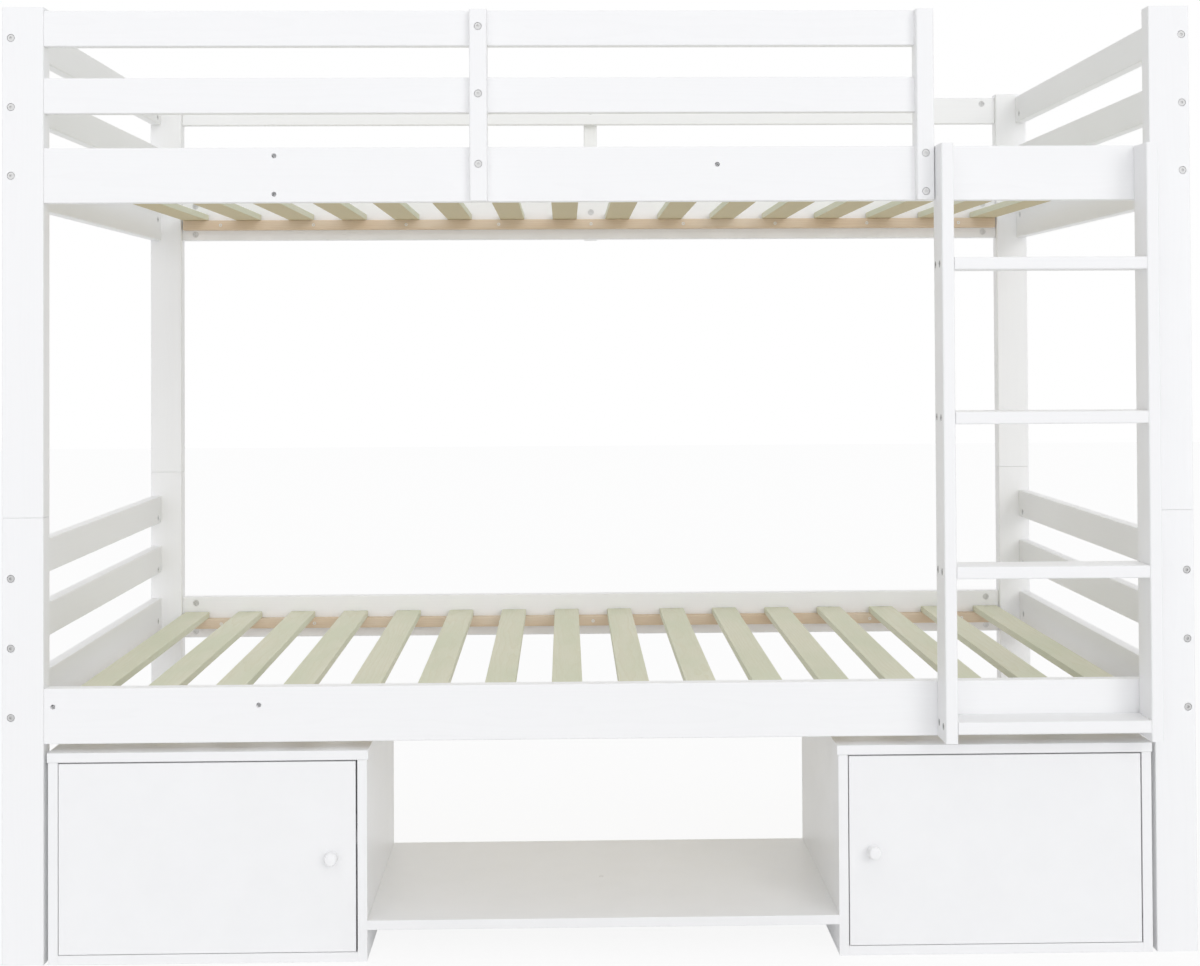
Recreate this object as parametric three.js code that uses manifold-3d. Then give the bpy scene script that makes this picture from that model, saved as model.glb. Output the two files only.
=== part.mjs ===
// Bunk bed with a storage base, in millimetres.
// X runs along the bed, Y from the ladder side to the rear, Z up from the floor.
// The origin is on the floor, in the middle of the box round the whole bed.
import * as THREE from 'three';
import { mergeVertices } from 'three/addons/utils/BufferGeometryUtils.js';
import Module from 'manifold-3d';

// Whole bed, over the outer faces of its posts
const bedLength = 2019;
const bedDepth = 1068;
const bedHeight = 1611;
const seam = 0.1; // hairline that touching pieces keep

// Posts, split near mid height and joined by a pin
const postWidth = 70;
const postDepth = 35;
const postSplitHeight = 749;
const postEdge = 3;
const pinDiameter = 10;
const pinReach = 30;
const pinClearance = 0.3;

// Boards between the posts
const boardThickness = 22;
const boardEdge = 3;
const sideInset = 1.5; // side boards lie this far in from the posts' faces
const endInset = 2;
const railHeight = 93;
const guardHeight = 60;
const lowGuardLift = 151.5; // from the underside of the rail below it
const highGuardLift = 265.5;
const lowerBerthClearance = 15; // over the cabinets' tops
const upperBerthDrop = 332; // from the posts' tops to the underside of the upper rails

// Guard uprights
const uprightWidth = 30;
const uprightDepth = 40;
const uprightHeight = 325;
const uprightProud = 18; // a front upright stands this far out from the boards that it is notched over
const midUprightOffset = 206;
const uprightEdge = 2.5;

// Ladder and the way in beside it
const entryWidth = 372.3;
const ladderPostGap = 6;
const ladderWidth = 365.5;
const stileThickness = 21;
const stileDepth = 64;
const stileTopGap = 2; // from the stiles' tops to the upper rail's top edge
const treadThickness = 21;
const lowestTreadTop = 36; // from the foot of the stiles
const topTreadDrop = 191.4; // from the stiles' tops
const treadCount = 4;
const ladderEdge = 2.5;

// Slats and the ledger strips under their ends
const slatWidth = 55;
const slatThickness = 14.5;
const slatSeat = 0.5; // slats are let into the ledgers
const slatEndGap = 3;
const slatCount = 16;
const slatEdge = 1.5;
const ledgerHeight = 22;
const ledgerThickness = 22;
const ledgerLift = 23;
const ledgerEndGap = 6;

// Holes that the ladder and the uprights use when they are fitted the other way round
const spareHoleDiameter = 8.5;
const spareHoleDepth = 13;
const endSpareShift = 0.3; // to the left of the mirror image of the bolts in use
const midSpareShift = 6.5;
const lowerSpareShift = 1.5;
const railBoltInset = 14; // bolt height above and below the rail's edges
const ladderBoltLift = 62.5;

// Cabinets
const cabinetWidth = 533.5;
const cabinetDepth = 450;
const cabinetHeight = 354;
const cabinetPostGap = 7.5;
const panelThickness = 16;
const backThickness = 4;
const topOverhang = 2;
const panelEdge = 1;

// Cabinet doors, inset
const doorThickness = 16;
const hingeGap = 1.6;
const handleGap = 2.4;
const doorShift = 0.6; // both doors hang this far to the left, as their hinges are set
const doorTopGap = 2.2;
const doorBottomGap = 1.4;
const doorEdge = 1;

// Knobs
const knobDiameter = 23;
const knobReach = 24;
const knobNeckDiameter = 13;
const knobNeckLength = 9;
const knobRound = 5;
const knobInset = 40;

// Concealed hinges
const cupDiameter = 35;
const cupDepth = 11;
const cupRim = 4.5; // door left between the cup and the door's edge
const hingeInset = 75; // cup centre from the door's upper and lower edges
const hingeGapToDoor = 0.3;
const armHeight = 16;
const armThickness = 10;
const armLength = 62;
const knuckleLength = 14;
const noseReach = 5;
const noseLength = 12;

// Door catches
const catchHeight = 30;
const catchWidth = 14;
const catchDepth = 34;
const catchCentre = 203;
const catchEdge = 1.5;

// Shelf between the cabinets, with one foot under its middle
const shelfThickness = 16;
const shelfTop = 68.5;
const shelfFootWidth = 50;
const footEdge = 1;

const cornerSteps = 1; // an arc is drawn in twice as many chords
const knobSteps = 4;
const roundSteps = 16;
const cutOverrun = 2;

// Places worked out from the sizes
const frontReach = Math.max(stileDepth, uprightDepth) - sideInset;
const rearReach = uprightDepth - sideInset;
const frontY = (frontReach - rearReach - bedDepth) / 2;
const rearY = frontY + bedDepth;
const outerX = bedLength / 2;
const innerX = outerX - postWidth;
const lowerBerthHeight = cabinetHeight + lowerBerthClearance;
const upperBerthHeight = bedHeight - upperBerthDrop;
const railFrontY = frontY + sideInset;
const railInnerY = railFrontY + boardThickness;
const rearRailInnerY = rearY - sideInset - boardThickness;
const stileLength = upperBerthHeight + railHeight - stileTopGap - lowerBerthHeight;
const treadRise = (stileLength - topTreadDrop - lowestTreadTop) / (treadCount - 1);
const ledgerLength = 2 * (innerX - ledgerEndGap);
const slatPitch = (ledgerLength - slatWidth) / (slatCount - 1);
const cabinetOuterX = innerX - cabinetPostGap;
const cabinetInnerX = cabinetOuterX - cabinetWidth;
const cabinetBackY = frontY + cabinetDepth;
const panelBackY = cabinetBackY - backThickness;
const doorBottom = panelThickness + doorBottomGap;
const doorTop = cabinetHeight - panelThickness - doorTopGap;

const berths = [['lower', lowerBerthHeight], ['upper', upperBerthHeight]];
const sides = [['left', -1], ['right', 1]];

const wasm = await Module();
wasm.setup();
const bunkBed = new THREE.Group();
bunkBed.name = 'bunk_bed';

// Finishes
function whitePaint() {
  return new THREE.MeshStandardMaterial({ color: 0xf3f3f1, roughness: 0.45, metalness: 0 });
}

function whitePanel() {
  return new THREE.MeshStandardMaterial({ color: 0xf4f4f3, roughness: 0.4, metalness: 0 });
}

function barePine() {
  return new THREE.MeshStandardMaterial({ color: 0xd3cda6, roughness: 0.75, metalness: 0 });
}

function brightSteel() {
  return new THREE.MeshStandardMaterial({ color: 0xb9babb, roughness: 0.35, metalness: 1 });
}

function greyPlastic() {
  return new THREE.MeshStandardMaterial({ color: 0xc9c9c8, roughness: 0.5, metalness: 0 });
}

// Shapes
function roundedOutline(width, height, edge) {
  const x = width / 2;
  const y = height / 2;
  const r = Math.min(edge, x, y);
  const outline = new THREE.Shape();
  outline.moveTo(x - r, -y);
  outline.absarc(x - r, r - y, r, -Math.PI / 2, 0, false);
  outline.absarc(x - r, y - r, r, 0, Math.PI / 2, false);
  outline.absarc(r - x, y - r, r, Math.PI / 2, Math.PI, false);
  outline.absarc(r - x, r - y, r, Math.PI, 3 * Math.PI / 2, false);
  return outline;
}

// A board with eased edges along one axis, centred on its own middle
function easedBoard(size, along, edge) {
  const across = { x: ['y', 'z'], y: ['z', 'x'], z: ['x', 'y'] }[along];
  const outline = roundedOutline(size[across[0]], size[across[1]], edge);
  const depth = size[along];
  const board = new THREE.ExtrudeGeometry(outline, { depth, bevelEnabled: false, curveSegments: cornerSteps });
  board.translate(0, 0, -depth / 2);
  const unit = {
    x: new THREE.Vector3(1, 0, 0),
    y: new THREE.Vector3(0, 1, 0),
    z: new THREE.Vector3(0, 0, 1),
  };
  return board.applyMatrix4(new THREE.Matrix4().makeBasis(unit[across[0]], unit[across[1]], unit[along]));
}

function rod(diameter, length, along) {
  const round = new THREE.CylinderGeometry(diameter / 2, diameter / 2, length, roundSteps);
  return along === 'z' ? round.rotateX(Math.PI / 2) : round;
}

// Joining and cutting
function toSolid(geometry) {
  const bare = geometry.clone();
  bare.deleteAttribute('normal');
  bare.deleteAttribute('uv');
  const merged = mergeVertices(bare);
  return new wasm.Manifold(new wasm.Mesh({
    numProp: 3,
    vertProperties: new Float32Array(merged.attributes.position.array),
    triVerts: new Uint32Array(merged.index.array),
  }));
}

function toGeometry(solid) {
  const mesh = solid.getMesh();
  const geometry = new THREE.BufferGeometry();
  geometry.setAttribute('position', new THREE.BufferAttribute(mesh.vertProperties, 3));
  geometry.setIndex(new THREE.BufferAttribute(mesh.triVerts, 1));
  geometry.computeVertexNormals();
  return geometry;
}

function joined(shapes) {
  return toGeometry(shapes.map(toSolid).reduce((whole, next) => whole.add(next)));
}

function cut(shape, cutters) {
  return toGeometry(cutters.map(toSolid).reduce((rest, next) => rest.subtract(next), toSolid(shape)));
}

// Placing
function place(name, geometry, material, x, y, z) {
  const mesh = new THREE.Mesh(geometry, material);
  mesh.name = name;
  mesh.position.set(x, y, z);
  bunkBed.add(mesh);
}

function middle(span) {
  return (span[0] + span[1]) / 2;
}

function extent(span) {
  return Math.abs(span[1] - span[0]);
}

// A board that fills three spans, in one finish
function placeBoard(name, spans, along, edge, material) {
  const size = { x: extent(spans.x), y: extent(spans.y), z: extent(spans.z) };
  place(name, easedBoard(size, along, edge), material, middle(spans.x), middle(spans.y), middle(spans.z));
}

// Post halves: the lower half carries the pin, the upper half its socket
function lowerPost() {
  const body = easedBoard({ x: postWidth, y: postDepth, z: postSplitHeight - seam }, 'z', postEdge);
  const pin = rod(pinDiameter, 2 * pinReach, 'z');
  pin.translate(0, 0, (postSplitHeight - seam) / 2);
  return joined([body, pin]);
}

function upperPost() {
  const height = bedHeight - postSplitHeight;
  const body = easedBoard({ x: postWidth, y: postDepth, z: height }, 'z', postEdge);
  const socket = rod(pinDiameter + 2 * pinClearance, 2 * (pinReach + pinClearance), 'z');
  socket.translate(0, 0, -height / 2);
  return cut(body, [socket]);
}

function addPosts() {
  for (const [side, sign] of sides) {
    for (const [row, y] of [['front', frontY + postDepth / 2], ['rear', rearY - postDepth / 2]]) {
      const x = sign * (outerX - postWidth / 2);
      place(`lower_post_${row}_${side}`, lowerPost(), whitePaint(), x, y, (postSplitHeight - seam) / 2);
      place(`upper_post_${row}_${side}`, upperPost(), whitePaint(), x, y, (bedHeight + postSplitHeight) / 2);
    }
  }
}

// End boards, three on each end of each berth
function addEndBoards() {
  const rows = [['end_rail', 0, railHeight], ['end_guard_low', lowGuardLift, guardHeight],
    ['end_guard_high', highGuardLift, guardHeight]];
  for (const [berth, base] of berths) {
    for (const [side, sign] of sides) {
      for (const [kind, lift, height] of rows) {
        const outer = outerX - endInset;
        placeBoard(`${berth}_${kind}_${side}`, {
          x: [sign * (outer - boardThickness), sign * outer],
          y: [frontY + postDepth + seam, rearY - postDepth - seam],
          z: [base + lift, base + lift + height],
        }, 'y', boardEdge, whitePaint());
      }
    }
  }
}

// A rail or guard board of one side, between the posts
function sideBoard(right, height) {
  const size = { x: right + innerX - seam, y: boardThickness, z: height };
  return easedBoard(size, 'x', boardEdge);
}

// A front rail with spare blind holes in its face, at the given places along it and above its middle
function drilledRail(places) {
  const rail = sideBoard(innerX - seam, railHeight);
  const holes = places.map(([x, up]) => {
    const hole = rod(spareHoleDiameter, spareHoleDepth + cutOverrun, 'y');
    return hole.translate(x, (spareHoleDepth - cutOverrun - boardThickness) / 2, up);
  });
  return cut(rail, holes);
}

function addSideRails() {
  const up = railHeight / 2 - railBoltInset;
  const endUprightX = innerX - entryWidth - uprightWidth / 2;
  const middleUp = ladderBoltLift - railHeight / 2;
  const spareEndX = -endUprightX - endSpareShift;
  const upperHoles = [[spareEndX, up], [spareEndX, -up], [midUprightOffset - midSpareShift, middleUp]];
  const outerStile = innerX - ladderPostGap - stileThickness / 2;
  const innerStile = outerStile - ladderWidth + stileThickness;
  const lowerHoles = [outerStile, innerStile].map((x) => [-x - lowerSpareShift, middleUp]);
  const drilled = { lower: lowerHoles, upper: upperHoles };
  for (const [berth, base] of berths) {
    const z = base + railHeight / 2;
    const frontMiddle = railFrontY + boardThickness / 2;
    const rearMiddle = rearRailInnerY + boardThickness / 2;
    place(`${berth}_front_rail`, drilledRail(drilled[berth]), whitePaint(), 0, frontMiddle, z);
    place(`${berth}_rear_rail`, sideBoard(innerX - seam, railHeight), whitePaint(), 0, rearMiddle, z);
  }
}

// Guards of the upper berth, open beside the ladder, and the uprights that hold them
function addUpperGuards() {
  const right = innerX - entryWidth;
  const left = seam - innerX;
  const rails = [['low', lowGuardLift], ['high', highGuardLift]];
  for (const [kind, lift] of rails) {
    placeBoard(`front_guard_${kind}`, {
      x: [left, right],
      y: [railFrontY, railInnerY],
      z: [upperBerthHeight + lift, upperBerthHeight + lift + guardHeight],
    }, 'x', boardEdge, whitePaint());
  }
  placeBoard('rear_guard', {
    x: [left, -left],
    y: [rearRailInnerY, rearRailInnerY + boardThickness],
    z: [upperBerthHeight + highGuardLift, upperBerthHeight + highGuardLift + guardHeight],
  }, 'x', boardEdge, whitePaint());
  addNotchedUpright('front_guard_upright_mid', -midUprightOffset);
  addNotchedUpright('front_guard_upright_entry', right - uprightWidth / 2);
  placeBoard('rear_guard_upright', {
    x: [-uprightWidth / 2, uprightWidth / 2],
    y: [rearY - sideInset + seam, rearY - sideInset + uprightDepth],
    z: [upperBerthHeight, upperBerthHeight + uprightHeight],
  }, 'z', uprightEdge, whitePaint());
}

// A front upright, notched over the rail and the two guard boards, with its back flush with theirs
function addNotchedUpright(name, x) {
  const whole = easedBoard({ x: uprightWidth, y: uprightDepth, z: uprightHeight }, 'z', uprightEdge);
  const boards = [[-cutOverrun, railHeight], [lowGuardLift, lowGuardLift + guardHeight],
    [highGuardLift, uprightHeight + cutOverrun]];
  const notchDepth = uprightDepth - uprightProud + seam + cutOverrun;
  const notches = boards.map(([under, over]) => {
    const notch = new THREE.BoxGeometry(uprightWidth + cutOverrun, notchDepth, over - under + 2 * seam);
    return notch.translate(0, (uprightDepth - notchDepth) / 2 + cutOverrun, (under + over - uprightHeight) / 2);
  });
  const middleY = railFrontY - uprightProud + uprightDepth / 2;
  place(name, cut(whole, notches), whitePaint(), x, middleY, upperBerthHeight + uprightHeight / 2);
}

// Slats of one berth, screwed down on the two ledger strips
function slatDeck() {
  const pieces = [];
  const reach = (rearRailInnerY - railInnerY) / 2;
  const ledgerSize = { x: ledgerLength, y: ledgerThickness - seam, z: ledgerHeight };
  for (const sign of [-1, 1]) {
    const ledger = easedBoard(ledgerSize, 'x', slatEdge);
    pieces.push(ledger.translate(0, sign * (reach - (ledgerThickness + seam) / 2), ledgerHeight / 2));
  }
  for (let i = 0; i < slatCount; i += 1) {
    const size = { x: slatWidth, y: 2 * (reach - slatEndGap), z: slatThickness };
    const slat = easedBoard(size, 'y', slatEdge);
    const x = (i - (slatCount - 1) / 2) * slatPitch;
    pieces.push(slat.translate(x, 0, ledgerHeight - slatSeat + slatThickness / 2));
  }
  return joined(pieces);
}

function addSlatDecks() {
  for (const [berth, base] of berths) {
    place(`${berth}_slat_deck`, slatDeck(), barePine(), 0, (railInnerY + rearRailInnerY) / 2, base + ledgerLift);
  }
}

// Ladder, bolted to the faces of the front rails
function addLadder() {
  const right = innerX - ladderPostGap;
  const left = right - ladderWidth;
  const y = [railFrontY - stileDepth, railFrontY - seam];
  const z = [lowerBerthHeight, lowerBerthHeight + stileLength];
  placeBoard('ladder_stile_left', { x: [left, left + stileThickness], y, z }, 'z', ladderEdge, whitePaint());
  placeBoard('ladder_stile_right', { x: [right - stileThickness, right], y, z }, 'z', ladderEdge, whitePaint());
  for (let i = 0; i < treadCount; i += 1) {
    const top = lowerBerthHeight + lowestTreadTop + i * treadRise;
    placeBoard(`ladder_tread_${i + 1}`, {
      x: [left + stileThickness + seam, right - stileThickness - seam],
      y,
      z: [top - treadThickness, top],
    }, 'x', ladderEdge, whitePaint());
  }
}

// Cabinet carcass: the top lies on the sides, the bottom lies between them, the back closes the rear
function addCabinet(side, sign) {
  const y = [frontY, panelBackY - seam];
  const sideHeight = [0, cabinetHeight - panelThickness - seam];
  const insideOuter = cabinetOuterX - panelThickness;
  const insideInner = cabinetInnerX + panelThickness;
  placeBoard(`${side}_cabinet_outer_side`, {
    x: [sign * insideOuter, sign * cabinetOuterX], y, z: sideHeight,
  }, 'y', panelEdge, whitePanel());
  placeBoard(`${side}_cabinet_inner_side`, {
    x: [sign * insideInner, sign * cabinetInnerX], y, z: sideHeight,
  }, 'y', panelEdge, whitePanel());
  placeBoard(`${side}_cabinet_bottom`, {
    x: [sign * (insideInner + seam), sign * (insideOuter - seam)], y, z: [0, panelThickness],
  }, 'x', panelEdge, whitePanel());
  placeBoard(`${side}_cabinet_top`, {
    x: [sign * (cabinetInnerX - topOverhang), sign * (cabinetOuterX + topOverhang)],
    y: [frontY, cabinetBackY],
    z: [cabinetHeight - panelThickness, cabinetHeight],
  }, 'x', panelEdge, whitePanel());
  placeBoard(`${side}_cabinet_back`, {
    x: [sign * cabinetInnerX, sign * cabinetOuterX],
    y: [panelBackY, cabinetBackY],
    z: [0, cabinetHeight - panelThickness - seam],
  }, 'x', panelEdge, whitePanel());
}

// How far a door's hinged edge is from the bed's middle
function hingeX(sign) {
  return cabinetOuterX - panelThickness - hingeGap - sign * doorShift;
}

// How far a door's free edge is from the bed's middle
function doorFreeX(sign) {
  return cabinetInnerX + panelThickness + handleGap - sign * doorShift;
}

// Heights of the two hinges of a door
function hingeHeights() {
  return [['lower', doorBottom + hingeInset], ['upper', doorTop - hingeInset]];
}

// Inset door, bored on its back for the hinge cups
function addDoor(side, sign) {
  const size = { x: hingeX(sign) - doorFreeX(sign), y: doorThickness, z: doorTop - doorBottom };
  const cups = hingeHeights().map(([, z]) => {
    const bore = rod(cupDiameter, cupDepth + cutOverrun, 'y');
    const x = sign * (size.x / 2 - cupRim - cupDiameter / 2);
    return bore.translate(x, (doorThickness - cupDepth + cutOverrun) / 2, z - (doorBottom + doorTop) / 2);
  });
  const door = cut(easedBoard(size, 'z', doorEdge), cups);
  const x = sign * (hingeX(sign) + doorFreeX(sign)) / 2;
  place(`${side}_door`, door, whitePanel(), x, frontY + doorThickness / 2, (doorBottom + doorTop) / 2);
}

// Knob turned on its own axis: a neck that flares into a flat topped button
function knobGeometry() {
  const neck = knobNeckDiameter / 2;
  const head = knobDiameter / 2;
  const profile = new THREE.Path();
  profile.moveTo(0, seam);
  profile.lineTo(neck, seam);
  profile.quadraticCurveTo(neck, knobNeckLength, head, knobNeckLength + seam);
  profile.lineTo(head, knobReach - knobRound);
  profile.quadraticCurveTo(head, knobReach, head - knobRound, knobReach);
  profile.lineTo(0, knobReach);
  return new THREE.LatheGeometry(profile.getPoints(knobSteps), roundSteps);
}

function addKnob(side, sign) {
  const knob = knobGeometry();
  knob.rotateX(Math.PI);
  place(`${side}_knob`, knob, whitePaint(), sign * (doorFreeX(sign) + knobInset), frontY, (doorBottom + doorTop) / 2);
}

// Hinge arm seen from above: along the cabinet side, across behind the door, and a nose in the cup
function armOutline(sign) {
  const wall = cabinetOuterX - panelThickness - seam;
  const front = frontY + doorThickness + hingeGapToDoor;
  const noseMiddle = hingeX(sign) - cupRim - cupDiameter / 2;
  const knuckleEnd = noseMiddle - noseLength / 2;
  const points = [
    [wall, front],
    [noseMiddle + noseLength / 2, front],
    [noseMiddle + noseLength / 2, front - noseReach],
    [knuckleEnd, front - noseReach],
    [knuckleEnd, front + knuckleLength],
    [wall - armThickness, front + knuckleLength],
    [wall - armThickness, front + armLength],
    [wall, front + armLength],
  ];
  return new THREE.Shape(points.map(([x, y]) => new THREE.Vector2(sign * x, y)));
}

function addHinges(side, sign) {
  for (const [height, z] of hingeHeights()) {
    const arm = new THREE.ExtrudeGeometry(armOutline(sign), { depth: armHeight, bevelEnabled: false });
    place(`${side}_hinge_arm_${height}`, arm, brightSteel(), 0, 0, z - armHeight / 2);
  }
}

// Catch on the inner side panel, just behind the free edge of the door
function addCatch(side, sign) {
  const wall = cabinetInnerX + panelThickness + seam;
  const front = frontY + doorThickness + hingeGapToDoor;
  placeBoard(`${side}_door_catch`, {
    x: [sign * wall, sign * (wall + catchWidth)],
    y: [front, front + catchDepth],
    z: [catchCentre - catchHeight / 2, catchCentre + catchHeight / 2],
  }, 'y', catchEdge, greyPlastic());
}

function addShelf() {
  const end = cabinetInnerX - seam;
  const bottom = shelfTop - shelfThickness;
  const foot = shelfFootWidth / 2;
  const y = frontY + cabinetDepth / 2;
  placeBoard('shelf', {
    x: [-end, end], y: [frontY, cabinetBackY], z: [bottom, shelfTop],
  }, 'x', panelEdge, whitePanel());
  placeBoard('shelf_foot', {
    x: [-foot, foot], y: [y - foot, y + foot], z: [0, bottom - seam],
  }, 'z', footEdge, whitePanel());
}

addPosts();
addEndBoards();
addSideRails();
addUpperGuards();
addSlatDecks();
addLadder();
for (const [side, sign] of sides) {
  addCabinet(side, sign);
  addDoor(side, sign);
  addKnob(side, sign);
  addHinges(side, sign);
  addCatch(side, sign);
}
addShelf();

export default bunkBed;
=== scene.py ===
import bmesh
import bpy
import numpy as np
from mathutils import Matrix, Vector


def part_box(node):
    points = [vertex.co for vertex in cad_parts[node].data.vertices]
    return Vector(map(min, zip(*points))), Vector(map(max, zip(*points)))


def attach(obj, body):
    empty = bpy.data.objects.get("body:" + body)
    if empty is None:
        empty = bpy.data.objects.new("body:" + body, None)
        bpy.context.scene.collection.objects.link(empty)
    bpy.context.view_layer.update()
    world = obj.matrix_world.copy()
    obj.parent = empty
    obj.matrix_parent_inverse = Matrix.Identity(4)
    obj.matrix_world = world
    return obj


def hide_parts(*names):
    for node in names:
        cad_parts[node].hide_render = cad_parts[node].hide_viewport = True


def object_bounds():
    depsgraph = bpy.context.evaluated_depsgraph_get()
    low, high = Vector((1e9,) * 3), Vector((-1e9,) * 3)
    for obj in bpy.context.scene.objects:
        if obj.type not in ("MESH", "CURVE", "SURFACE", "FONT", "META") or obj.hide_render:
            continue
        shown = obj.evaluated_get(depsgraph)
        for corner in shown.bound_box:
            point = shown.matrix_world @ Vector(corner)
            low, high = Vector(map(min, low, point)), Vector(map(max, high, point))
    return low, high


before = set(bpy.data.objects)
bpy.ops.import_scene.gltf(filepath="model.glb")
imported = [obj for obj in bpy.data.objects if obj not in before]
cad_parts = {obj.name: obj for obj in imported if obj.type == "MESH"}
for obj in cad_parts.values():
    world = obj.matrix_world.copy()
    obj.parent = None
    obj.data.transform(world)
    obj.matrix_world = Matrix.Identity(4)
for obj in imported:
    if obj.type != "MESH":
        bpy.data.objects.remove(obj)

# %% [markdown]
# # A white bunk bed over a storage base
#
# The real bed is planed pine under a coat of white paint, with bare slats, steel bolts and two coated
# cabinets below. The frame that was just loaded holds every board at its true size, but with sharp ends
# and flat facets. This lesson gives each board its eased edges, its drilled holes and its paint, adds the
# fasteners, and lights the bed as a catalogue picture does.
#
# Everything is in metres. X runs along the bed, Y goes from the ladder side to the rear, Z is up.

MM = 0.001


def put_in_scene(name, data):
    """An object in the scene, made from a mesh, a camera or a lamp."""
    item = bpy.data.objects.new(name, data)
    bpy.context.scene.collection.objects.link(item)
    return item


cad_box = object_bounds()
size = cad_box[1] - cad_box[0]
print("box of the frame:", [round(v, 3) for v in size])

# %% [markdown]
# ## The camera
#
# The photograph was taken from a little left of the bed's middle, about as high as a table lamp, and the
# picture was cropped high, so the optical axis runs above the picture's centre. The values below put a
# pinhole camera there: a place, three small turns, a focal length and a vertical shift.

# %% Camera
PHOTO_WIDTH = 1200
PHOTO_HEIGHT = 966
FOCAL_PIXELS = 1704.2
AXIS_ROW = 318.3
EYE = Vector((-0.0613, -3.4118, 1.0362))
YAW = 0.02064
PITCH = 0.01522
ROLL = -0.00514
SENSOR = 36.0

camera = bpy.data.cameras.new("camera")
camera.sensor_width = SENSOR
camera.lens = FOCAL_PIXELS / PHOTO_WIDTH * SENSOR
camera.shift_y = (AXIS_ROW - PHOTO_HEIGHT / 2) / PHOTO_WIDTH
camera.clip_start = 0.05
view = put_in_scene("camera", camera)
level = Matrix.Rotation(-YAW, 4, "Z") @ Matrix.Rotation(np.pi / 2 + PITCH, 4, "X")
view.matrix_world = Matrix.Translation(EYE) @ level @ Matrix.Rotation(ROLL, 4, "Z")
bpy.context.scene.camera = view
print("lens", round(camera.lens, 2), "shift", round(camera.shift_y, 4))

# %% [markdown]
# ## Node groups for wood and paint
#
# Painted boards, bare slats and ledgers all share one thing: the growth rings of the tree, cut along its
# length. A ring is a cylinder round the tree's heart, so the distance from a far off line, bent a little
# by noise, gives long lines with the odd arch. The pattern is read from each board's own coordinates,
# stored in an attribute called `board`, whose first number runs along the grain. A second group gives the
# fine pimpled skin that a roller or a spray leaves.

# %% Small helpers for node trees
def feed(tree, socket, value):
    """Set an input, or link it if the value is another node's output."""
    if isinstance(value, bpy.types.NodeSocket):
        tree.links.new(value, socket)
    else:
        socket.default_value = value


def add_node(tree, kind, **values):
    """A node with its properties set and its inputs fed by name."""
    node = tree.nodes.new(kind)
    for key, value in values.items():
        if key in node.inputs:
            feed(tree, node.inputs[key], value)
        else:
            setattr(node, key, value)
    return node


def math_node(tree, operation, *values):
    """A math node fed by sockets or numbers."""
    node = add_node(tree, "ShaderNodeMath", operation=operation)
    for socket, value in zip(node.inputs, values):
        feed(tree, socket, value)
    return node.outputs[0]


def new_group(name, inputs, outputs):
    """An empty shader group with named sockets, and its two ends."""
    tree = bpy.data.node_groups.new(name, "ShaderNodeTree")
    for label, kind, value in inputs:
        socket = tree.interface.new_socket(label, in_out="INPUT", socket_type=kind)
        if value is not None:
            socket.default_value = value
    for label, kind in outputs:
        tree.interface.new_socket(label, in_out="OUTPUT", socket_type=kind)
    return tree, tree.nodes.new("NodeGroupInput"), tree.nodes.new("NodeGroupOutput")


def weighted_sum(tree, *terms):
    """Sum of sockets, each times its share."""
    total = None
    for socket, share in terms:
        part = math_node(tree, "MULTIPLY", socket, share)
        total = part if total is None else math_node(tree, "ADD", total, part)
    return total


# %% Growth rings
RING_SPACING = 4.2 * MM
RING_WAVINESS = 6 * MM
HEART_OFFSET = 55 * MM
HEART_LEAN = 0.012
BEND_GAIN = 4.0
LATE_WOOD_POWER = 3.0
NOISE_ROUGHNESS = 0.55

# Each noise's stretch along X, Y and Z, its scale and its detail.
BEND_NOISE = ((1.0, 6.0, 6.0), 2.2, 3.0)
FIBRE_NOISE = ((3.0, 90.0, 90.0), 9.0, 4.0)
TONE_NOISE = ((1.0, 3.0, 3.0), 3.0, 2.0)

VECTOR = "NodeSocketVector"
FLOAT = "NodeSocketFloat"

grain, grain_in, grain_out = new_group(
    "growth_rings",
    [("Board", VECTOR, None), ("Spacing", FLOAT, RING_SPACING), ("Waviness", FLOAT, RING_WAVINESS)],
    [("Rings", FLOAT), ("Fibre", FLOAT), ("Tone", FLOAT)],
)


def stretched_noise(tree, vector, stretch, scale, detail):
    """Noise on coordinates that are scaled unevenly, so that it runs along the grain."""
    mapping = add_node(tree, "ShaderNodeMapping", Vector=vector, Scale=stretch)
    noise = add_node(tree, "ShaderNodeTexNoise", Vector=mapping.outputs[0],
                     Scale=scale, Detail=detail, Roughness=NOISE_ROUGHNESS)
    return noise.outputs["Fac"]


board = grain_in.outputs["Board"]
bend = math_node(grain, "SUBTRACT", stretched_noise(grain, board, *BEND_NOISE), 0.5)
bend = math_node(grain, "MULTIPLY", bend, grain_in.outputs["Waviness"])
parts = add_node(grain, "ShaderNodeSeparateXYZ", Vector=board)
lean = math_node(grain, "MULTIPLY", parts.outputs["X"], HEART_LEAN)
across = math_node(grain, "ADD", parts.outputs["Y"], lean)
deep = math_node(grain, "ADD", parts.outputs["Z"], HEART_OFFSET)
reach = math_node(grain, "POWER", across, 2.0)
reach = math_node(grain, "ADD", reach, math_node(grain, "POWER", deep, 2.0))
bend = math_node(grain, "MULTIPLY", bend, BEND_GAIN)
reach = math_node(grain, "ADD", math_node(grain, "SQRT", reach), bend)
phase = math_node(grain, "FRACT", math_node(grain, "DIVIDE", reach, grain_in.outputs["Spacing"]))
late = math_node(grain, "POWER", phase, LATE_WOOD_POWER)
grain.links.new(late, grain_out.inputs["Rings"])
grain.links.new(stretched_noise(grain, board, *FIBRE_NOISE), grain_out.inputs["Fibre"])
grain.links.new(stretched_noise(grain, board, *TONE_NOISE), grain_out.inputs["Tone"])
print("group", grain.name, "with", len(grain.nodes), "nodes")

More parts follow.
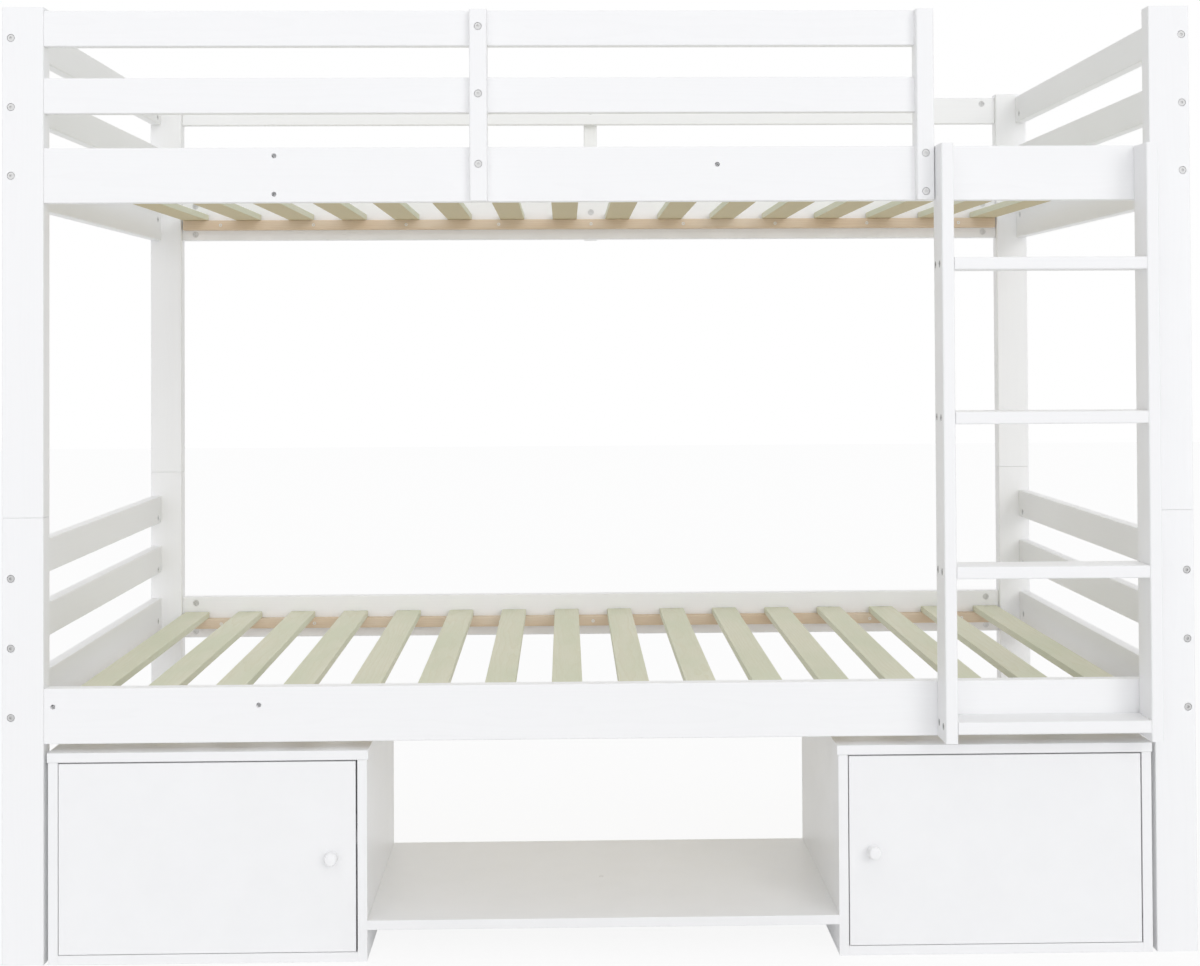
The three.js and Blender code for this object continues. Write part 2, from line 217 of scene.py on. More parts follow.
# %% Skin left by the roller
skin, skin_in, skin_out = new_group(
    "roller_skin",
    [("Place", VECTOR, None), ("Size", FLOAT, 520.0)],
    [("Height", FLOAT), ("Sheen", FLOAT)],
)
place = skin_in.outputs["Place"]
grit = skin_in.outputs["Size"]
fine = add_node(skin, "ShaderNodeTexNoise", Vector=place, Scale=grit, Detail=2.0, Roughness=0.5)
broad = add_node(skin, "ShaderNodeTexNoise", Vector=place, Scale=14.0, Detail=3.0, Roughness=0.6)
skin.links.new(fine.outputs["Fac"], skin_out.inputs["Height"])
skin.links.new(broad.outputs["Fac"], skin_out.inputs["Sheen"])
print("group", skin.name, "with", len(skin.nodes), "nodes")

# %% [markdown]
# ## Materials
#
# Each finish keeps its own Principled shader. The paint is nearly plain: the rings only swell it by a few
# hundredths of a millimetre and tint it by a breath, as real paint over pine does. The slats carry the
# same rings in full colour. Steel has fine turning marks.

# %% Shader helpers
def new_material(name, **values):
    """A material with one Principled shader, its constants set on its own sockets."""
    material = bpy.data.materials.new(name)
    material.use_nodes = True
    shader = material.node_tree.nodes["Principled BSDF"]
    for key, value in values.items():
        shader.inputs[key.replace("_", " ")].default_value = value
    return material, material.node_tree, shader


def board_vector(tree):
    """The board's own coordinates, kept in the mesh."""
    node = add_node(tree, "ShaderNodeAttribute", attribute_name="board")
    return node.outputs["Vector"]


def object_vector(tree):
    """Coordinates of the whole bed, for pieces that carry no attribute."""
    return add_node(tree, "ShaderNodeTexCoord").outputs["Object"]


def blend_colours(tree, factor, first, second):
    """A colour between two, by a factor. The first may be another node's colour."""
    if not isinstance(first, bpy.types.NodeSocket):
        first = (*first, 1.0)
    mix = add_node(tree, "ShaderNodeMix", data_type="RGBA", Factor=factor, A=first, B=(*second, 1.0))
    return mix.outputs["Result"]


NOISE_SPREAD = (0.3, 0.7)


def ranged(tree, value, low, high, to_low, to_high):
    """A value moved from one range to another and held inside it."""
    ends = {"From Min": low, "From Max": high, "To Min": to_low, "To Max": to_high}
    return add_node(tree, "ShaderNodeMapRange", Value=value, **ends).outputs["Result"]


def dress(tree, shader, relief, strength, height, **changing):
    """Relief on the shader's normal, and the other sockets that change over the surface."""
    node = add_node(tree, "ShaderNodeBump", Strength=strength, Distance=height, Height=relief)
    tree.links.new(node.outputs["Normal"], shader.inputs["Normal"])
    for key, socket in changing.items():
        tree.links.new(socket, shader.inputs[key.replace("_", " ")])


# %% White paint over pine
PAINT = (0.939, 0.941, 0.946)
PAINT_OVER_LATE_WOOD = (0.921, 0.923, 0.928)
PAINT_TINT = 0.5
PAINT_ROUGHNESS = (0.38, 0.5)
PAINT_RELIEF = 0.12 * MM


def painted_pine(name):
    """Satin paint: rings swell it and tint it faintly, the roller's skin lies on top."""
    material, tree, shader = new_material(name, Specular_IOR_Level=0.3)
    vector = board_vector(tree)
    rings = add_node(tree, "ShaderNodeGroup", node_tree=grain, Board=vector)
    peel = add_node(tree, "ShaderNodeGroup", node_tree=skin, Place=vector)
    tint = math_node(tree, "MULTIPLY", rings.outputs["Rings"], PAINT_TINT)
    colour = blend_colours(tree, tint, PAINT, PAINT_OVER_LATE_WOOD)
    sheen = ranged(tree, peel.outputs["Sheen"], *NOISE_SPREAD, *PAINT_ROUGHNESS)
    relief = weighted_sum(tree, (rings.outputs["Rings"], 0.5), (rings.outputs["Fibre"], 0.25),
                          (peel.outputs["Height"], 0.3))
    dress(tree, shader, relief, 0.35, PAINT_RELIEF, Base_Color=colour, Roughness=sheen)
    return material


white_paint = painted_pine("white paint over pine")

# %% Coated board of the cabinets
PANEL = (0.931, 0.934, 0.939)
PANEL_SHADED = (0.918, 0.921, 0.926)
PANEL_ROUGHNESS = (0.33, 0.42)
PANEL_GRIT = 700.0
PANEL_RELIEF = 0.06 * MM


def coated_board(name):
    """A smooth sprayed coat: a fine skin and a slow drift in sheen."""
    material, tree, shader = new_material(name, Specular_IOR_Level=0.35)
    peel = add_node(tree, "ShaderNodeGroup", node_tree=skin, Place=object_vector(tree), Size=PANEL_GRIT)
    drift = ranged(tree, peel.outputs["Sheen"], 0.35, 0.65, 0.0, 1.0)
    colour = blend_colours(tree, drift, PANEL, PANEL_SHADED)
    sheen = ranged(tree, peel.outputs["Sheen"], *NOISE_SPREAD, *PANEL_ROUGHNESS)
    dress(tree, shader, peel.outputs["Height"], 0.25, PANEL_RELIEF, Base_Color=colour, Roughness=sheen)
    return material


white_panel = coated_board("white coated board")

# %% Bare slats and ledgers
SLAT_EARLY = (0.770, 0.765, 0.620)
SLAT_LATE = (0.680, 0.640, 0.450)
SLAT_GREEN = (0.690, 0.720, 0.550)
# Painted shade: the darker, warmer tone laid on the slats' lower faces.
SLAT_UNDERSIDE_SHADE = (0.610, 0.505, 0.300)
LEDGER_EARLY = (0.740, 0.590, 0.430)
LEDGER_LATE = (0.600, 0.430, 0.290)
LEDGER_PALE = (0.790, 0.690, 0.560)
BARE_ROUGHNESS = (0.62, 0.82)
BARE_RELIEF = 0.15 * MM
TONE_SPREAD = (0.38, 0.66)
CAST_SHARE = 0.75
# Painted shade: the depths through the board over which the lower face darkens, and by how much.
UNDERSIDE_SHADE_DEPTHS = (-6.9 * MM, -5.5 * MM)
UNDERSIDE_SHADE_SHARE = 0.8
FIBRE_SPREAD = (0.45, 0.7)
FIBRE_SHARE = 0.22


def bare_wood(name, early, late, cast, underside_shade, ring_share):
    """Planed wood: pale early wood, darker late wood, a slow cast of another hue and fine fibres.

    The lower face blends to a darker, warmer tone, which is painted shade on the underside.
    """
    material, tree, shader = new_material(name, Specular_IOR_Level=0.3)
    vector = board_vector(tree)
    rings = add_node(tree, "ShaderNodeGroup", node_tree=grain, Board=vector)
    figure = math_node(tree, "MULTIPLY", rings.outputs["Rings"], ring_share)
    colour = blend_colours(tree, figure, early, late)
    slow = ranged(tree, rings.outputs["Tone"], *TONE_SPREAD, 0.0, CAST_SHARE)
    colour = blend_colours(tree, slow, colour, cast)
    parts = add_node(tree, "ShaderNodeSeparateXYZ", Vector=vector)
    # Painted shade: the lower face blends towards the darker underside tone.
    below = ranged(tree, parts.outputs["Z"], *UNDERSIDE_SHADE_DEPTHS, UNDERSIDE_SHADE_SHARE, 0.0)
    colour = blend_colours(tree, below, colour, underside_shade)
    fibre = ranged(tree, rings.outputs["Fibre"], *FIBRE_SPREAD, 0.0, FIBRE_SHARE)
    colour = blend_colours(tree, fibre, colour, late)
    sheen = ranged(tree, rings.outputs["Fibre"], *NOISE_SPREAD, *BARE_ROUGHNESS)
    relief = weighted_sum(tree, (rings.outputs["Fibre"], 0.6), (rings.outputs["Rings"], 0.4))
    dress(tree, shader, relief, 0.5, BARE_RELIEF, Base_Color=colour, Roughness=sheen)
    return material


slat_wood = bare_wood("bare slat wood", SLAT_EARLY, SLAT_LATE, SLAT_GREEN, SLAT_UNDERSIDE_SHADE, 0.35)
ledger_wood = bare_wood("bare ledger wood", LEDGER_EARLY, LEDGER_LATE, LEDGER_PALE, LEDGER_EARLY, 0.45)

# %% Metals and plastic
TURNING_NOISE = ((1.0, 1.0, 6.0), 900.0, 3.0)
TURNING_SHADE = 0.82
TURNING_RELIEF = 0.04 * MM
SPARK_NOISE = ((1.0, 1.0, 1.0), 1600.0, 2.0)
SPARK_SHADE = 0.93
SPARK_RELIEF = 0.05 * MM


def turned_steel(name, colour, roughness):
    """Plated steel with fine marks from turning and handling."""
    material, tree, shader = new_material(name, Metallic=1.0)
    marks = stretched_noise(tree, object_vector(tree), *TURNING_NOISE)
    darker = tuple(TURNING_SHADE * part for part in colour)
    marked = blend_colours(tree, marks, colour, darker)
    sheen = ranged(tree, marks, *NOISE_SPREAD, roughness - 0.06, roughness + 0.1)
    dress(tree, shader, marks, 0.2, TURNING_RELIEF, Base_Color=marked, Roughness=sheen)
    return material


def moulded_plastic(name, colour):
    """Moulded plastic with a faint spark texture."""
    material, tree, shader = new_material(name, Roughness=0.5)
    spark = stretched_noise(tree, object_vector(tree), *SPARK_NOISE)
    darker = tuple(SPARK_SHADE * part for part in colour)
    dress(tree, shader, spark, 0.3, SPARK_RELIEF, Base_Color=blend_colours(tree, spark, colour, darker))
    return material


bolt_steel = turned_steel("zinc plated steel", (0.94, 0.94, 0.94), 0.5)
# Painted shade: a darker copy of the same bolt steel, for the heads on the lower posts.
shaded_bolt_steel = turned_steel("zinc plated steel in painted shade", (0.76, 0.76, 0.76), 0.45)
nut_steel = turned_steel("dulled zinc plated steel", (0.86, 0.86, 0.86), 0.45)
# Painted shade: a much darker copy of the same bolt steel, for the heads in the ladder's stiles.
deep_shaded_bolt_steel = turned_steel("zinc plated steel in deep painted shade", (0.55, 0.55, 0.55), 0.45)
hinge_steel = turned_steel("nickel plated steel", (0.74, 0.74, 0.75), 0.22)
catch_plastic = moulded_plastic("light grey plastic", (0.56, 0.56, 0.555))
print("materials:", [m.name for m in bpy.data.materials if m.use_nodes])

# %% [markdown]
# ## One surface for every board
#
# A planed board is a box whose edges are eased by sandpaper. Think of a small ball cut into eight: pull
# the eighths apart to the box's corners and stretch a skin over them. That is the whole formula, and it
# gives exact normals as well: they are the ball's own, so the faces stay dead flat and only the edges
# turn. Holes are drilled and notches sawn with a boolean, and the same formula then tells flat wood from
# the walls of a cut.

# %% Eased board
EDGE_STEPS = 5
END_EDGE = 0.4 * MM


def eased_points(low, high, edge):
    """Corner of the inner box plus the edge's radius times a direction.

    The directions are a ball's latitudes by longitudes, each quarter turn with its own corner.
    """
    quarter = np.linspace(0.0, np.pi / 2, EDGE_STEPS + 1)
    longitude = (np.arange(4)[:, None] * np.pi / 2 + quarter).ravel()
    corner_x = np.repeat([1.0, -1.0, -1.0, 1.0], EDGE_STEPS + 1)
    corner_y = np.repeat([1.0, 1.0, -1.0, -1.0], EDGE_STEPS + 1)
    latitude = np.concatenate([quarter - np.pi / 2, quarter])
    corner_z = np.repeat([-1.0, 1.0], EDGE_STEPS + 1)
    lat, lon = np.meshgrid(latitude, longitude, indexing="ij")
    direction = np.stack([np.cos(lat) * np.cos(lon), np.cos(lat) * np.sin(lon), np.sin(lat)], axis=-1)
    corner = np.stack(np.broadcast_arrays(corner_x[None, :], corner_y[None, :], corner_z[:, None]), axis=-1)
    middle = (low + high) / 2
    return middle + corner * ((high - low) / 2 - edge) + edge * direction


def edge_along(low, high, edge):
    """The edge's radius along each axis: boards are sanded along their length and sawn square at the ends."""
    radii = np.full(3, edge)
    radii[np.argmax(high - low)] = END_EDGE
    return radii


def grid_faces(rows, columns):
    """Quads of a grid whose columns close on themselves, and its two end faces."""
    row, column = np.meshgrid(np.arange(rows - 1), np.arange(columns), indexing="ij")
    ahead = (column + 1) % columns
    quads = np.stack([row * columns + column, row * columns + ahead,
                      (row + 1) * columns + ahead, (row + 1) * columns + column], axis=-1)
    first = list(range(columns))[::-1]
    last = list(range((rows - 1) * columns, rows * columns))
    return quads.reshape(-1, 4).tolist() + [first, last]


def copies_of(faces, count, size):
    """The faces of one mesh for each of several copies: every copy's corners are numbered on by its size."""
    return [[corner + number * size for corner in face] for number in range(count) for face in faces]


def merged_mesh(name, points, faces, outwards=False):
    """A mesh with its doubled points merged, and the faces that this flattens removed."""
    mesh = bpy.data.meshes.new(name)
    mesh.from_pydata(points.reshape(-1, 3).tolist(), [], faces)
    work = bmesh.new()
    work.from_mesh(mesh)
    bmesh.ops.remove_doubles(work, verts=work.verts, dist=1e-6)
    if outwards:
        bmesh.ops.recalc_face_normals(work, faces=work.faces)
    work.to_mesh(mesh)
    work.free()
    return mesh


# %% Drilling and notching
HOLE_SIDES = 24
BIT_STANDS_OUT = 0.25


def drill_bits(holes):
    """Closed cylinders, one for each hole: centre of its mouth, way in, diameter and depth.

    Each begins a quarter of its depth outside the wood.
    """
    angle = np.linspace(0.0, 2 * np.pi, HOLE_SIDES, endpoint=False)
    points = []
    for mouth, way_in, diameter, depth in holes:
        normal = np.array(way_in, float)
        side = np.roll(normal, 1)
        up = np.cross(normal, side)
        ring = diameter / 2 * (np.cos(angle)[:, None] * side + np.sin(angle)[:, None] * up)
        rings = np.stack([ring - normal * depth * BIT_STANDS_OUT, ring + normal * depth])
        points.append(np.array(mouth) + rings)
    faces = copies_of(grid_faces(2, HOLE_SIDES), len(holes), 2 * HOLE_SIDES)
    return merged_mesh("bits", np.concatenate(points), faces)


def eased_blocks(name, boxes, edge):
    """Several eased boxes in one mesh."""
    points = [eased_points(np.array(low, float), np.array(high, float), edge) for low, high in boxes]
    rows, columns = points[0].shape[:2]
    faces = copies_of(grid_faces(rows, columns), len(boxes), rows * columns)
    return merged_mesh(name, np.stack(points), faces)


def cut_out(mesh, cutters):
    """What is left of a mesh when the cutters' volumes are taken away, as a new mesh."""
    body = put_in_scene("blank", mesh)
    tools = [put_in_scene("tool", cutter) for cutter in cutters]
    for tool in tools:
        cut = body.modifiers.new("cut", "BOOLEAN")
        cut.object = tool
        cut.solver = "EXACT"
    result = bpy.data.meshes.new_from_object(body.evaluated_get(bpy.context.evaluated_depsgraph_get()))
    for item in (body, *tools):
        bpy.data.objects.remove(item)
    return result


# %% Normals and grain of a board
ALIKE = 0.9
START_ALONG = 3.0
START_ACROSS = 30 * MM
SEED = np.random.default_rng(7)


def read_all(items, key, width=1, kind=float):
    """One number or one vector of each vertex, corner or face."""
    values = np.empty(len(items) * width, kind)
    items.foreach_get(key, values)
    return values.reshape(-1, width) if width > 1 else values


def set_board_normals(mesh, low, high, edge):
    """Each corner's normal points away from the inner box, except on the walls of holes and notches.

    On an edge with unequal radii the way out is divided by their squares, as on an ellipsoid. A wall is told
    by its own normal, whose product with the formula's falls below the limit.
    """
    place = read_all(mesh.vertices, "co", 3)
    away = (place - np.clip(place, low + edge, high - edge)) / edge ** 2
    away /= np.maximum(np.linalg.norm(away, axis=1, keepdims=True), 1e-9)
    smooth = away[read_all(mesh.loops, "vertex_index", kind=int)]
    corners = read_all(mesh.polygons, "loop_total", kind=int)
    facing = np.repeat(read_all(mesh.polygons, "normal", 3), corners, axis=0)
    on_board = np.sum(smooth * facing, axis=1) > ALIKE
    mesh.shade_smooth()
    mesh.normals_split_custom_set(np.where(on_board[:, None], smooth, facing).tolist())


def store_board_vector(mesh, low, high):
    """The attribute `board`: along the grain, across it and through the board, from the board's middle.

    The first two have a random start, so that no two boards show the same rings.
    """
    place = read_all(mesh.vertices, "co", 3) - (low + high) / 2
    order = np.argsort(low - high)
    start = np.append(SEED.uniform((-START_ALONG, -START_ACROSS), (START_ALONG, START_ACROSS)), 0.0)
    values = place[:, order] + start
    attribute = mesh.attributes.new("board", "FLOAT_VECTOR", "POINT")
    attribute.data.foreach_set("vector", values.astype(np.float32).ravel())


# %% A finished piece
def as_piece(name, mesh, material, body, slot, *nodes):
    """A finished piece: in the scene, riding on its body, standing for its nodes."""
    item = put_in_scene(name, mesh)
    mesh.materials.append(material)
    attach(item, body)
    if nodes:
        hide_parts(*nodes)


def make_board(name, low, high, edge, material, slot, nodes=(), holes=(), notches=()):
    """An eased board between two corners, with its holes and notches, in one finish."""
    low, high = np.array(low, float), np.array(high, float)
    edge = edge_along(low, high, edge)
    points = eased_points(low, high, edge)
    mesh = merged_mesh(name, points, grid_faces(*points.shape[:2]))
    cutters = [drill_bits(holes)] if holes else []
    if notches:
        cutters.append(eased_blocks("notches", notches, END_EDGE))
    if cutters:
        mesh = cut_out(mesh, cutters)
        mesh.name = name
    set_board_normals(mesh, low, high, edge)
    store_board_vector(mesh, low, high)
    as_piece(name, mesh, material, "bed", slot, *nodes)


# %% [markdown]
# ## Where the bolts go
#
# Every board end is pulled to its post by a long bolt. Its round head lies in the post's outer face, and
# it runs into a barrel nut whose crossed end shows on the board's inner face, 30 mm from the post. The
# holes are worked out first, because the boards are drilled as they are made, and the same places are
# used again for the heads. A hole is the centre of its mouth, the way in, its diameter and its depth. On
# the real bed the holes aren't quite in the middle of the boards, so a few have small shifts of their own.

# %% Bores, and the lists of bolts and nuts
HEAD_BORE = 13.2 * MM
HEAD_BORE_DEPTH = 4.0 * MM
NUT_BORE = 14 * MM
NUT_BORE_DEPTH = 4.0 * MM
NUT_FROM_POST = 30 * MM
GUARD_BOLT_LIFT = 14 * MM
LOW_GUARD_BOLT_LIFT = 11 * MM
RAIL_BOLT_INSET = 14 * MM
MID_BOLT_LIFT = 62.5 * MM
POST_BOLT_SHIFTS = {"left": 2.2 * MM, "right": 0.0}
POST_BOLT_LIFTS = {("lower", "left"): -1.5 * MM, ("lower", "right"): -1.5 * MM,
                   ("upper", "left"): 0.0, ("upper", "right"): 3.6 * MM}

heads = {}
nuts = {}


def note(table, node, mouth, outward):
    """Keep one fastener's place with the node that it is set in."""
    table.setdefault(node, []).append((np.array(mouth, float), np.array(outward, float)))


# %% Names and boxes of the boards
BERTHS = ("lower", "upper")
SIDES = (("left", -1.0), ("right", 1.0))
ROWS = (("front", -1.0), ("rear", 1.0))
END_BOARDS = ("end_rail", "end_guard_low", "end_guard_high")


def half_post(berth, row, side):
    """Name of the post half that carries a board of this berth."""
    return f"{berth}_post_{row}_{side}"


def face_of(node, axis, sign):
    """Where a node's box ends along X or Y, on its low or its high side."""
    low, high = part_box(node)
    return getattr(low if sign < 0 else high, axis)


def middle_of(node):
    """The middle of a node's box."""
    return np.mean([list(corner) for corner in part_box(node)], axis=0)


# %% Bolts of the posts
def bolt_lengthwise(node, post, x_sign, y_sign, z):
    """A bolt through a post into the end of a board that runs along the bed, and its barrel nut."""
    nut_x = face_of(node, "x", x_sign) - x_sign * NUT_FROM_POST
    note(heads, post, (face_of(post, "x", x_sign), middle_of(node)[1], z), (x_sign, 0, 0))
    note(nuts, node, (nut_x, face_of(node, "y", -y_sign), z), (0, -y_sign, 0))


for berth in BERTHS:
    for side, x_sign in SIDES:
        for kind in END_BOARDS:
            node = f"{berth}_{kind}_{side}"
            low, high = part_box(node)
            lifts = {"end_rail": (high.z - low.z) / 2, "end_guard_low": LOW_GUARD_BOLT_LIFT}
            x = middle_of(node)[0] + POST_BOLT_SHIFTS[side]
            z = low.z + lifts.get(kind, GUARD_BOLT_LIFT) + POST_BOLT_LIFTS[berth, side]
            for row, y_sign in ROWS:
                post = half_post(berth, row, side)
                nut_y = face_of(node, "y", y_sign) - y_sign * NUT_FROM_POST
                note(heads, post, (x, face_of(post, "y", y_sign), z), (0, y_sign, 0))
                note(nuts, node, (face_of(node, "x", -x_sign), nut_y, z), (-x_sign, 0, 0))
    for row, y_sign in ROWS:
        node = f"{berth}_{row}_rail"
        low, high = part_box(node)
        for side, x_sign in SIDES:
            for z in (low.z + RAIL_BOLT_INSET, high.z - RAIL_BOLT_INSET):
                bolt_lengthwise(node, half_post(berth, row, side), x_sign, y_sign, z)
print("post bolts:", sum(map(len, heads.values())), "barrel nuts:", sum(map(len, nuts.values())))

# %% Bolts of the guards and their uprights
for node, row, y_sign, sides in (("front_guard_low", "front", -1.0, SIDES[:1]),
                                 ("front_guard_high", "front", -1.0, SIDES[:1]),
                                 ("rear_guard", "rear", 1.0, SIDES)):
    low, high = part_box(node)
    z = high.z - GUARD_BOLT_LIFT if row == "rear" else low.z + GUARD_BOLT_LIFT
    for side, x_sign in sides:
        bolt_lengthwise(node, half_post("upper", row, side), x_sign, y_sign, z)


def bolt_through(upright, board_node, z, y_sign):
    """A bolt through an upright into a board: head outside, nut on the board's inner face."""
    x = middle_of(upright)[0]
    note(heads, upright, (x, face_of(upright, "y", y_sign), z), (0, y_sign, 0))
    note(nuts, board_node, (x, face_of(board_node, "y", -y_sign), z), (0, -y_sign, 0))


STILES = (("ladder_stile_left", -1.0), ("ladder_stile_right", 1.0))
low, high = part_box("upper_front_rail")
for node in ("front_guard_high", "front_guard_low"):
    bolt_through("front_guard_upright_mid", node, middle_of(node)[2], -1.0)
bolt_through("front_guard_upright_mid", "upper_front_rail", low.z + MID_BOLT_LIFT, -1.0)
bolt_through("front_guard_upright_entry", "upper_front_rail", high.z - RAIL_BOLT_INSET, -1.0)
bolt_through("front_guard_upright_entry", "upper_front_rail", low.z + RAIL_BOLT_INSET, -1.0)
bolt_through("rear_guard_upright", "rear_guard", middle_of("rear_guard")[2], 1.0)
bolt_through("rear_guard_upright", "upper_rear_rail", low.z + MID_BOLT_LIFT, 1.0)
entry_x = middle_of("front_guard_upright_entry")[0]
for node in ("front_guard_low", "front_guard_high"):
    note(nuts, node, (entry_x, face_of(node, "y", 1.0), middle_of(node)[2]), (0, 1, 0))
node = "lower_front_rail"
for stile, _ in STILES:
    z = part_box(node)[0].z + MID_BOLT_LIFT
    note(nuts, node, (middle_of(stile)[0], face_of(node, "y", 1.0), z), (0, 1, 0))

# %% Bolts of the treads
TREADS = 4
TREAD_BOLT_SHARES = (0.30, 0.80)
for tread in (f"ladder_tread_{number}" for number in range(1, TREADS + 1)):
    low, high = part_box(tread)
    for stile, x_sign in STILES:
        for share in TREAD_BOLT_SHARES:
            y = low.y + share * (high.y - low.y)
            note(heads, stile, (face_of(stile, "x", x_sign), y, middle_of(tread)[2]), (x_sign, 0, 0))
print("all bolts:", sum(map(len, heads.values())), "all nuts:", sum(map(len, nuts.values())))

# %% Spare holes, the mirror image of the ones in use
SPARE_BORE = 8.5 * MM
SPARE_DEPTH = 13 * MM
SPARE_PARTNERS = (
    ("upper_front_rail", "front_guard_upright_mid", 6.5 * MM),
    ("upper_front_rail", "front_guard_upright_entry", 0.3 * MM),
    ("lower_front_rail", "ladder_stile_left", 1.5 * MM),
    ("lower_front_rail", "ladder_stile_right", 1.5 * MM),
)

spare = {}
for node, partner, shift in SPARE_PARTNERS:
    low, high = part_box(node)
    x = -middle_of(partner)[0] - shift
    lifts = (MID_BOLT_LIFT,)
    if partner == "front_guard_upright_entry":
        lifts = (RAIL_BOLT_INSET, high.z - low.z - RAIL_BOLT_INSET)
    for lift in lifts:
        spare.setdefault(node, []).append(((x, low.y, low.z + lift), (0, 1, 0), SPARE_BORE, SPARE_DEPTH))
print("spare holes:", {node: len(holes) for node, holes in spare.items()})


def holes_of(node):
    """Every hole that is drilled in a node's board."""
    found = [(mouth, -outward, HEAD_BORE, HEAD_BORE_DEPTH) for mouth, outward in heads.get(node, [])]
    found += [(mouth, -outward, NUT_BORE, NUT_BORE_DEPTH) for mouth, outward in nuts.get(node, [])]
    return found + spare.get(node, [])


# %% [markdown]
# ## Painted boards
#
# Posts, rails, guards, uprights and the ladder are all the same kind of thing, so one loop makes them.
# Each takes its two corners from the frame, so it stands exactly where the solid does. A lower post's box
# holds the pin on its top as well, which hides in the upper post, so the board ends below it. The two front
# uprights are notched over the rail and the guards that they hold.

# %% Painted boards
POST_EDGE = 2.2 * MM
BOARD_EDGE = 2 * MM
NARROW_EDGE = 3 * MM
PIN_REACH = 30 * MM
NOTCH_HAIRLINE = 0.1 * MM
NOTCH_OVERRUN = 2 * MM

POSTS = [half_post(berth, row, side) for berth in BERTHS for row, _ in ROWS for side, _ in SIDES]
END_PIECES = [f"{berth}_{kind}_{side}" for berth in BERTHS for side, _ in SIDES for kind in END_BOARDS]
RAILS = [f"{berth}_{row}_rail" for berth in BERTHS for row, _ in ROWS]
GUARDS = ["front_guard_low", "front_guard_high", "rear_guard"]
NARROW = [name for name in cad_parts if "upright" in name or name.startswith("ladder")]

painted = dict.fromkeys(POSTS, POST_EDGE)
painted.update(dict.fromkeys(END_PIECES + RAILS + GUARDS, BOARD_EDGE))
painted.update(dict.fromkeys(NARROW, NARROW_EDGE))


def notches_of(node):
    """Blocks round the boards that a front upright is notched over.

    Each is a hairline larger than its board, and reaches out past the upright's sides, back and ends.
    """
    if not node.startswith("front_guard_upright"):
        return []
    low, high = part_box(node)
    blocks = []
    for passing in ("upper_front_rail", "front_guard_low", "front_guard_high"):
        board_low, board_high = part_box(passing)
        under = board_low.z - (NOTCH_OVERRUN if passing == "upper_front_rail" else NOTCH_HAIRLINE)
        over = board_high.z + (NOTCH_OVERRUN if passing == "front_guard_high" else NOTCH_HAIRLINE)
        blocks.append(((low.x - NOTCH_OVERRUN, board_low.y - NOTCH_HAIRLINE, under),
                       (high.x + NOTCH_OVERRUN, high.y + NOTCH_OVERRUN, over)))
    return blocks


for node, edge in painted.items():
    low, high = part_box(node)
    if node.startswith("lower_post"):
        high = Vector((high.x, high.y, high.z - PIN_REACH))
    make_board(f"{node}_board", low, high, edge, white_paint, "white_paint", (node,),
               holes_of(node), notches_of(node))
print("painted boards:", len(painted))

# %% [markdown]
# ## Slats and ledgers
#
# The frame holds each berth's slats and ledgers as one solid. On the real bed they are 16 loose slats on
# two strips, so they are made here one by one. The strips are a warmer wood than the slats.

# %% Slats and ledgers
SLATS = 16
SLAT_PITCH = 120.8 * MM
SLAT_WIDTH = 55 * MM
SLAT_THICKNESS = 14 * MM
SLAT_END_GAP = 3 * MM
LEDGER_WIDTH = 22 * MM
LEDGER_HEIGHT = 22 * MM
SLAT_EDGE = 1.5 * MM

slat_places = (np.arange(SLATS) - (SLATS - 1) / 2) * SLAT_PITCH
for berth in BERTHS:
    node = f"{berth}_slat_deck"
    low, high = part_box(node)
    for row, near in (("front", low.y), ("rear", high.y - LEDGER_WIDTH)):
        make_board(f"{berth}_ledger_{row}", (low.x, near, low.z),
                   (high.x, near + LEDGER_WIDTH, low.z + LEDGER_HEIGHT),
                   SLAT_EDGE, ledger_wood, "bare_pine", (node,))
    for number, x in enumerate(slat_places, 1):
        make_board(f"{berth}_slat_{number:02d}",
                   (x - SLAT_WIDTH / 2, low.y + SLAT_END_GAP, high.z - SLAT_THICKNESS),
                   (x + SLAT_WIDTH / 2, high.y - SLAT_END_GAP, high.z),
                   SLAT_EDGE, slat_wood, "bare_pine", (node,))
print("slats:", 2 * SLATS, "ledgers:", 4)

# %% [markdown]
# ## Fasteners
#
# A bolt head, a barrel nut and a screw are all turned parts with a driver's recess in the middle. Seen
# along its axis, each is a stack of rings. The recess is a ring too, only not round: its radius follows
# the outline of a hexagon or a cross, written in polar form.

# %% Ring stacks
HEAD_SIDES = 24
SCREW_SIDES = 16
TINY = 1e-6


def hexagon(angle, half_width):
    """Polar radius of a hexagon: half its width over the cosine of the angle from the nearest flat."""
    nearest = np.mod(angle, np.pi / 3) - np.pi / 6
    return half_width / np.cos(nearest)


def bar(angle, length, width):
    """Polar radius of a rectangle, the nearer of its two pairs of sides."""
    along = length / 2 / np.maximum(np.abs(np.cos(angle)), TINY)
    beside = width / 2 / np.maximum(np.abs(np.sin(angle)), TINY)
    return np.minimum(along, beside)


def cross(angle, length, width):
    """Polar radius of two crossed rectangles, the further of the two."""
    return np.maximum(bar(angle, length, width), bar(angle + np.pi / 2, length, width))


def ring_stack(sides, rings):
    """Points of rings given as a radius, which may follow the angle, and a height."""
    angle = np.linspace(0.0, 2 * np.pi, sides, endpoint=False)
    layers = []
    for radius, height in rings:
        reach = radius(angle) if callable(radius) else radius
        ring = (reach * np.cos(angle), reach * np.sin(angle), np.full(sides, height))
        layers.append(np.stack(ring, axis=-1))
    return np.stack(layers)


